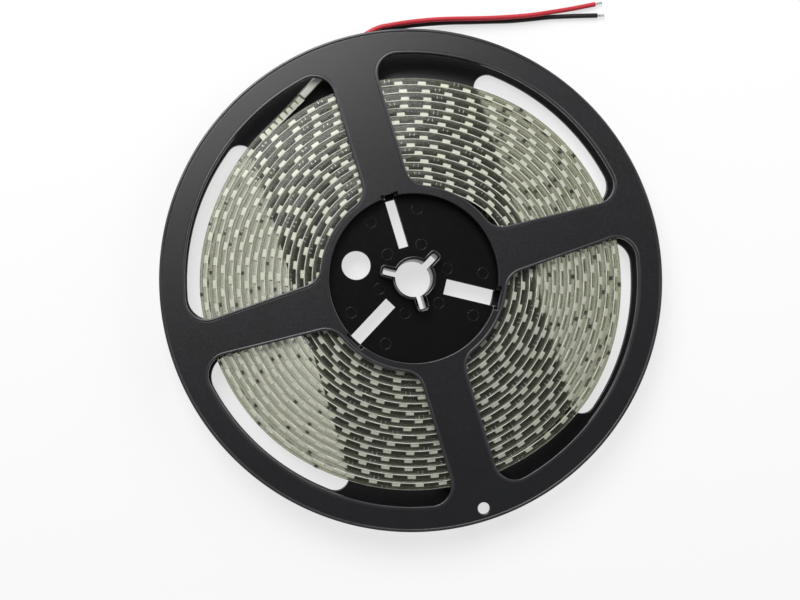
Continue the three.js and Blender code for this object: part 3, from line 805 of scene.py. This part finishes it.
class Path:
    """The strip's middle line by its length, each place with its across, along and up directions."""

    def __init__(self):
        self.places = []
        wound = STRIP_TURNS * 360
        steps = round(wound / 1.5)
        raw = [strip_at(wound * (1 - i / steps)) for i in range(steps + 1)]
        raw += [tail_at(TAIL_LENGTH * (i + 1) / 16) for i in range(16)]
        self.lengths = [0.0]
        for (before, _, _), (after, _, _) in zip(raw, raw[1:]):
            self.lengths.append(self.lengths[-1] + (after - before).length)
        self.raw = raw
        self.total = self.lengths[-1]
        self.cursor = 0

    def at(self, length):
        """(middle, across, along, up) at a length. Lengths in rising order are found fastest."""
        length = min(max(length, 0), self.total)
        if self.lengths[self.cursor] > length:
            self.cursor = 0
        while self.cursor + 2 < len(self.lengths) and self.lengths[self.cursor + 1] < length:
            self.cursor += 1
        low = self.cursor
        share = (length - self.lengths[low]) / (self.lengths[low + 1] - self.lengths[low])
        first, second = self.raw[low], self.raw[low + 1]
        middle = first[0].lerp(second[0], share)
        outward = first[1].lerp(second[1], share).normalized()
        lean = first[2] + (second[2] - first[2]) * share
        across, up = leaned(outward, lean)
        along = Vector((outward.y, -outward.x, 0))
        return middle, across, along, up


PATH = Path()


def evenly(start, end, step):
    count = max(2, math.ceil((end - start) / step))
    return [start + (end - start) * i / count for i in range(count + 1)]


def swept(name, section, lengths, wander=None, side_materials=None):
    """A section of (across, up) points carried along the strip's path, closed at both ends.

    wander gives the section's shape at a length, and side_materials a material index for each side.
    """
    points = []
    for length in lengths:
        middle, across, _, up = PATH.at(length)
        shape = wander(length, section) if wander else section
        points += [middle + across * a + up * b for a, b in shape]
    indices = None
    if side_materials:
        indices = list(side_materials) * (len(lengths) - 1) + [0, 0]
    return mesh_object(name, points, tube_faces(len(section), len(lengths)), indices)


def led_places():
    count = int((PATH.total - TAIL_LENGTH) / LED_PITCH)
    return [LED_PITCH * (i + 0.5) for i in range(count)]


def make_board():
    half = STRIP_WIDTH / 2
    section = [(BOARD_BACK, -half), (BOARD_FACE, -half), (BOARD_FACE, half), (BOARD_BACK, half)]
    piece = swept("strip_board", section, evenly(0, PATH.total, PATH_STEP), side_materials=(1, 1, 0, 1))
    finish_piece(piece, "led_strip", "strip_coat", BOARD, BOARD_FILM)


def make_coat():
    """The clear coat: a low dome over the board's LED side, a little uneven along its length."""
    half = STRIP_WIDTH / 2 - 0.05
    top = COAT_FACE
    base = BOARD_FACE + 0.01
    dome = [(base, -half), (base + 1.1, -half + 0.02), (top - 0.12, -half + 0.12), (top, -half + 0.5),
            (top, half - 0.5), (top - 0.12, half - 0.12), (base + 1.1, half - 0.02), (base, half)]

    def wander(length, section):
        swell = 0.03 * math.sin(length * 0.21) + 0.03 * math.sin(length * 0.053 + 1) - 0.06
        edge = 0.1 * math.sin(length * 0.13 + 2) * math.sin(length * 0.031) - 0.1
        shaped = []
        for a, b in section:
            share = (a - base) / (top - base)
            shaped.append((a + swell * share, b + (edge * share if b > 0 else 0)))
        return shaped

    piece = swept("strip_clear_coat", dome, evenly(0, PATH.total, PATH_STEP), wander)
    finish_piece(piece, None, "strip_coat", SILICONE)


def make_milk():
    """The milky compound along the coat's two edges, past the LEDs' faces, which stay clear."""
    top = SKIN_START - 0.02

    def wander(length, section):
        start = MILK_START + 0.08 * math.sin(length * 0.9) + 0.06 * math.sin(length * 0.37 + 2)
        return [(start if a == MILK_START else a, b) for a, b in section]

    lengths = evenly(0.3, PATH.total - TAIL_LENGTH, PATH_STEP)
    for name, side in (("upper", 1), ("lower", -1)):
        edge = side * (STRIP_WIDTH / 2 - 0.25)
        inner = edge - side * EDGE_MILK_WIDTH
        section = [(MILK_START, inner), (top, inner), (top, edge - side * 0.1), (MILK_START, edge)]
        finish_piece(swept(f"strip_milky_{name}_edge", section, lengths, wander), None, "strip_coat", MILK)


def make_skin():
    """The light skin on the coat's two edges, which shows as a thin line between two turns."""
    top = COAT_FACE - 0.1
    lengths = evenly(0.3, PATH.total - 0.3, PATH_STEP)
    for name, side in (("upper", 1), ("lower", -1)):
        edge = side * (STRIP_WIDTH / 2 - 0.2)
        inner = edge - side * EDGE_SKIN_WIDTH
        section = [(SKIN_START, inner), (top, inner), (top, edge), (SKIN_START, edge)]
        finish_piece(swept(f"strip_{name}_skin", section, lengths), None, "strip_coat", SKIN)


def make_shade_filling():
    """A see-through sheet on the board between the LEDs, whose dark streaked colour is painted shade. It
    shrinks to a film behind each LED.
    """
    half = STRIP_WIDTH / 2 - 0.3
    film = BOARD_FACE + 0.1
    section = [(BOARD_FACE + 0.02, -half), (FILL_END, -half), (FILL_END, half), (BOARD_FACE + 0.02, half)]
    places = led_places()
    half_led = LED_LENGTH / 2
    lengths = [0.3]
    for length in places:
        lengths += [length - half_led - 0.12, length - half_led + 0.05, length + half_led - 0.05,
                    length + half_led + 0.12, length + LED_PITCH / 2]
    end = PATH.total - TAIL_LENGTH
    lengths = [length for length in lengths if length < end] + [end]

    def wander(length, section):
        index = min(max(int(length / LED_PITCH), 0), len(places) - 1)
        at_led = abs(length - places[index]) < half_led
        return [(film if at_led and a == FILL_END else a, b) for a, b in section]

    finish_piece(swept("strip_filling_painted_shade", section, lengths, wander), None, "strip_coat", SHADE_FILLING)


class Boxes:
    """Many small blocks gathered into one mesh, each set on the strip at a length."""

    def __init__(self):
        self.points = []
        self.faces = []
        self.indices = []

    def block(self, at, low, high, material=0, taper=0.0):
        """low and high are (across, along, up) corners from the strip's middle at that length."""
        middle, across, along, up = at
        first = len(self.points)
        for a, inset in ((low[0], 0.0), (high[0], taper)):
            for l, u in ((low[1] + inset, low[2] + inset), (high[1] - inset, low[2] + inset),
                         (high[1] - inset, high[2] - inset), (low[1] + inset, high[2] - inset)):
                self.points.append(middle + across * a + along * l + up * u)
        quads = ((0, 3, 2, 1), (4, 5, 6, 7), (0, 1, 5, 4), (1, 2, 6, 5), (2, 3, 7, 6), (3, 0, 4, 7))
        self.faces += [tuple(first + corner for corner in quad) for quad in quads]
        self.indices += [material] * len(quads)

    def disc(self, at, place, radius, material, sides=12):
        middle, across, along, up = at
        first = len(self.points)
        for i in range(sides):
            turn = math.tau * i / sides
            offset = along * (place[1] + radius * math.cos(turn)) + up * (place[2] + radius * math.sin(turn))
            self.points.append(middle + across * place[0] + offset)
        self.faces.append(tuple(range(first, first + sides)))
        self.indices.append(material)

    def piece(self, name):
        return mesh_object(name, self.points, self.faces, self.indices, sharp=20)


def make_end_pads():
    """The pads near the strip's end, where the leads are soldered, each under a light blob of compound."""
    boxes = Boxes()
    half = STRIP_WIDTH / 2 - 0.35
    pitch = TAIL_LENGTH / END_PADS
    for index in range(END_PADS):
        at = PATH.at(PATH.total - TAIL_LENGTH + (index + 0.5) * pitch)
        reach = pitch / 2 - random.uniform(0.14, 0.3)
        top = random.uniform(0.6, 1)
        boxes.block(at, (BOARD_FACE + 0.02, -reach, -half), (top, reach, half), 0, 0.25)
    finish_piece(boxes.piece("strip_end_pads"), None, "strip_coat", LED_HOUSING)


def make_leds():
    boxes = Boxes()
    half_length = LED_LENGTH / 2
    half_width = LED_WIDTH / 2
    base = BOARD_FACE
    top = base + LED_HEIGHT
    for length in led_places():
        at = PATH.at(length + random.uniform(-LED_JITTER, LED_JITTER))
        boxes.block(at, (base, -half_length, -half_width), (top, half_length, half_width), 0, LED_TAPER)
        boxes.disc(at, (top + 0.01, 0, 0), PHOSPHOR_RADIUS, 1)
    finish_piece(boxes.piece("leds"), None, "strip_coat", LED_HOUSING, PHOSPHOR)


def make_electronics():
    """Solder at each LED's pads, a chip resistor and cut pads in each section, and the board's joints."""
    boxes = Boxes()
    base = BOARD_FACE
    top = STRIP_WIDTH / 2
    for index, length in enumerate(led_places()):
        at = PATH.at(length)
        for side in (-1, 1):
            centre = side * (LED_LENGTH / 2 + 0.25)
            boxes.block(at, (base, centre - 0.3, -1.2), (base + 0.35, centre + 0.3, 1.2), 0, 0.15)
        if index % SECTION_LEDS == 1:
            chip = PATH.at(length + LED_PITCH / 2)
            low = 0.3 + random.uniform(-0.1, 0.15)
            boxes.block(chip, (low, -0.65, top - 2.2), (low + 1, 0.65, top - 0.9), 1, 0.05)
            for end in (-1, 1):
                cap = sorted((end * 0.62, end * 0.95))
                boxes.block(chip, (low - 0.02, cap[0], top - 2.2), (low + 1.02, cap[1], top - 0.9), 0, 0.04)
    for section in range(int(PATH.total / SECTION_LENGTH)):
        cut = PATH.at((section + 1) * SECTION_LENGTH - 0.01)
        for row in CUT_PAD_ROWS:
            boxes.block(cut, (base, -1.3, row - 0.7), (base + 0.12, 1.3, row + 0.7), 0, 0.1)
    for joint in range(1, int(PATH.total / JOINT_LENGTH) + 1):
        at = PATH.at(joint * JOINT_LENGTH)
        for row in JOINT_ROWS:
            boxes.block(at, (base, -2, row - 0.8), (base + 0.7, 2, row + 0.8), 0, 0.4)
    finish_piece(boxes.piece("strip_electronics"), None, "strip_coat", SOLDER, CHIP)


def make_sleeve():
    """The cap over the solder joint: the strip's section with rounded edges. rings are (length, scale)."""
    half_thickness = STRIP_THICKNESS / 2
    half_width = STRIP_WIDTH / 2
    corner = SLEEVE_CORNER
    section = []
    for ca, cb, start in ((1, 1, 0), (-1, 1, 90), (-1, -1, 180), (1, -1, 270)):
        for i in range(5):
            spot = polar(corner, start + 90 * i / 4)
            section.append((ca * (half_thickness - corner) + spot.x, cb * (half_width - corner) + spot.y))
    points = []
    rings = ((0, 0.9), (0.15, 0.97), (0.5, 1), (4, 1), (7, 0.99), (SLEEVE_LENGTH - 0.8, 1),
             (SLEEVE_LENGTH - 0.2, 0.94), (SLEEVE_LENGTH, 0.82))
    for length, scale in rings:
        middle, outward, lean = tail_at(TAIL_LENGTH + STRIP_CLEARANCE + length)
        across, up = leaned(outward, lean)
        points += [middle + across * a * scale + up * b * scale for a, b in section]
    piece = mesh_object("strip_end_cap", points, tube_faces(len(section), len(rings)))
    finish_piece(piece, "strip_end_sleeve", "sleeve_coat", SLEEVE)


# Leads

def catmull(points, per_span):
    """A smooth line through the points."""
    points = [Vector(p) for p in points]
    padded = [points[0] * 2 - points[1]] + points + [points[-1] * 2 - points[-2]]
    line = []
    for a, b, c, d in zip(padded, padded[1:], padded[2:], padded[3:]):
        for i in range(per_span):
            t = i / per_span
            line.append(0.5 * ((2 * b) + (c - a) * t + (2 * a - 5 * b + 4 * c - d) * t ** 2
                               + (3 * b - a - 3 * c + d) * t ** 3))
    return line + [points[-1]]


def make_wire(name, route, cad_name, slot, material):
    line = catmull(route, 4)
    data = bpy.data.curves.new(name, "CURVE")
    data.dimensions = "3D"
    data.bevel_depth = WIRE_DIAMETER / 2 * MM
    data.bevel_resolution = 6
    data.use_fill_caps = True
    spline = data.splines.new("POLY")
    spline.points.add(len(line) - 1)
    for spot, place in zip(spline.points, line):
        spot.co = (*(place * MM), 1)
    spline.use_smooth = True
    wire = bpy.data.objects.new(name, data)
    bpy.context.scene.collection.objects.link(wire)
    finish_piece(wire, cad_name, slot, material)
    tip = make_tip(f"{name}_strands", line, f"{cad_name}_tip")


def make_tip(name, line, cad_name):
    """The stripped end: seven tinned strands with a slight twist."""
    end = line[-1]
    along = (line[-1] - line[-2]).normalized()
    side = along.cross(Vector((0, 0, 1))).normalized()
    up = side.cross(along)
    strand = TIP_DIAMETER / 6
    points = []
    faces = []
    sides = 8
    rings = 8
    around = TIP_STRANDS - 1
    for index in range(TIP_STRANDS):
        ring_radius = 0 if index == around else strand * 2
        for ring in range(rings + 1):
            share = ring / rings
            turn = math.tau * (index / around + 0.3 * share)
            centre = end + along * ((TIP_LENGTH + STRIP_CLEARANCE) * share)
            centre += (side * math.cos(turn) + up * math.sin(turn)) * ring_radius
            radius = strand * (1 - 0.25 * share ** 6)
            for k in range(sides):
                spin = math.tau * k / sides
                points.append(centre + (side * math.cos(spin) + up * math.sin(spin)) * radius)
        faces += tube_faces(sides, rings + 1, index * (rings + 1) * sides)
    return finish_piece(mesh_object(name, points, faces, sharp=50), cad_name, "tinned_copper", TINNED)


# Stage and light

def make_floor():
    mesh = bpy.data.meshes.new("floor")
    reach = FLOOR_REACH
    mesh.from_pydata([(-reach, -reach, 0), (reach, -reach, 0), (reach, reach, 0), (-reach, reach, 0)], [],
                     [(0, 1, 2, 3)])
    floor = bpy.data.objects.new("floor", mesh)
    bpy.context.scene.collection.objects.link(floor)
    floor.location.z = -FLOOR_DROP
    floor.data.materials.append(floor_paper())


def floor_paper():
    """White paper, shown mostly by its own colour to the camera and in reflections."""
    material, tree, output = new_material("floor_paper")
    paper = tree.nodes.new("ShaderNodeBsdfDiffuse")
    tone = ramp(tree, noise(tree, 3), ((0.3, (0.93, 0.93, 0.93)), (0.7, (0.95, 0.95, 0.95))))
    tree.links.new(tone, paper.inputs["Color"])
    white = node(tree, "ShaderNodeEmission", Color=(1, 1, 1, 1), Strength=1.0)
    rays = tree.nodes.new("ShaderNodeLightPath")
    seen = rays.outputs["Is Camera Ray"]
    for kind in ("Is Glossy Ray", "Is Transmission Ray"):
        seen = calculated(tree, "MAXIMUM", seen, rays.outputs[kind])
    share = calculated(tree, "MULTIPLY", seen, FLOOR_WHITE_SHARE)
    surface = mixed(tree, share, paper.outputs["BSDF"], white.outputs["Emission"])
    tree.links.new(surface, output.inputs["Surface"])
    return material


def area_light(name, place, target, size, power):
    data = bpy.data.lights.new(name, "AREA")
    data.shape = "RECTANGLE"
    data.size, data.size_y = size
    data.energy = power
    lamp = bpy.data.objects.new(name, data)
    bpy.context.scene.collection.objects.link(lamp)
    lamp.location = rolled(*place)
    lamp.rotation_euler = (lamp.location - rolled(*target)).to_track_quat("Z", "Y").to_euler()


def make_light():
    world = bpy.data.worlds.new("studio")
    bpy.context.scene.world = world
    world.use_nodes = True
    background = world.node_tree.nodes["Background"]
    background.inputs["Color"].default_value = (1, 1, 1, 1)
    background.inputs["Strength"].default_value = WORLD_STRENGTH
    area_light("key", KEY_PLACE, KEY_AIM, KEY_SIDES, KEY_POWER)
    area_light("fill", FILL_PLACE, FILL_AIM, FILL_SIDES, FILL_POWER)


make_camera()
make_wire("red_lead", RED_ROUTE, "red_wire", "red_insulation", RED_PVC)
make_wire("black_lead", BLACK_ROUTE, "black_wire", "black_insulation", BLACK_PVC)
make_rear_flange()
make_front_flange()
make_hub()
make_board()
make_coat()
make_milk()
make_skin()
make_shade_filling()
make_leds()
make_end_pads()
make_electronics()
make_sleeve()
make_floor()
make_light()

bpy.context.scene.view_settings.view_transform = "Standard"
bpy.context.scene.cycles.transparent_max_bounces = TRANSPARENT_BOUNCES
